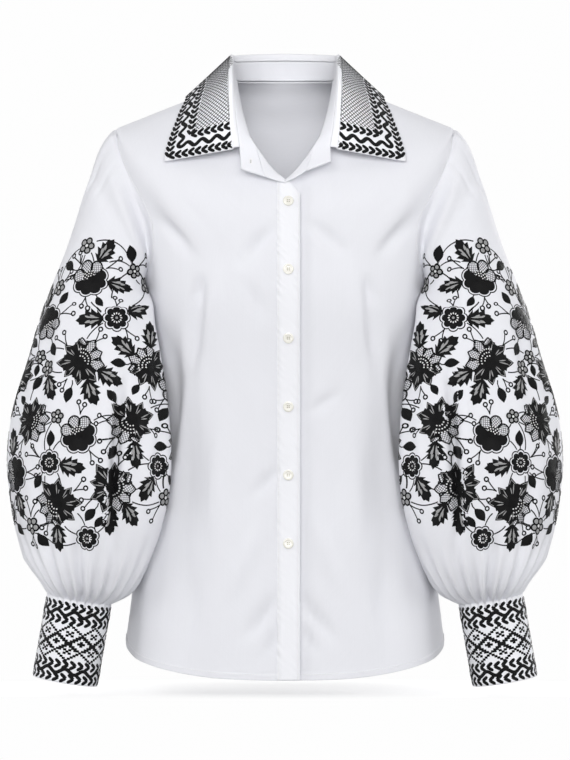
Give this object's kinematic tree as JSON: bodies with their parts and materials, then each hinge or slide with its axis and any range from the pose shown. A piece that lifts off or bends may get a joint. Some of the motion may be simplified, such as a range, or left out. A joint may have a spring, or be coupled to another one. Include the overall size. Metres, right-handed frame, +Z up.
{
  "type": "vyshyvanka shirt",
  "caption": "White cotton blouse with balloon sleeves, deep cuffs, a wide collar and a buttoned front, in its worn shape; black embroidery on sleeves, cuffs and collar.",
  "frame": {"origin": "base of the neck, on the line between the two points where the shoulder seams meet the collar, where the wearer's shoulders carry the shirt", "axes": "+Z up, +X towards the wearer's left sleeve, -Y towards the front; +Z is the longest extent and +Y the shortest"},
  "size_m": [0.6074, 0.2329, 0.6966],
  "materials": {
    "white_cotton": "fine plain-weave cotton poplin, slight sheen",
    "black_thread": "mercerised embroidery thread, satin stitch",
    "grey_thread": "mercerised embroidery thread, satin stitch",
    "ivory_button": "polished resin"
  },
  "bodies": {
    "root": {"back": "white_cotton", "front_right": "white_cotton", "front_left": "white_cotton", "placket": "white_cotton", "collar_stand": "white_cotton", "collar_fall": "white_cotton", "sleeve_right": "white_cotton", "sleeve_left": "white_cotton", "cuff_right": "white_cotton", "cuff_left": "white_cotton", "button_1": "ivory_button", "button_2": "ivory_button", "button_3": "ivory_button", "button_4": "ivory_button", "button_5": "ivory_button", "button_6": "ivory_button"}
  },
  "joints": []
}
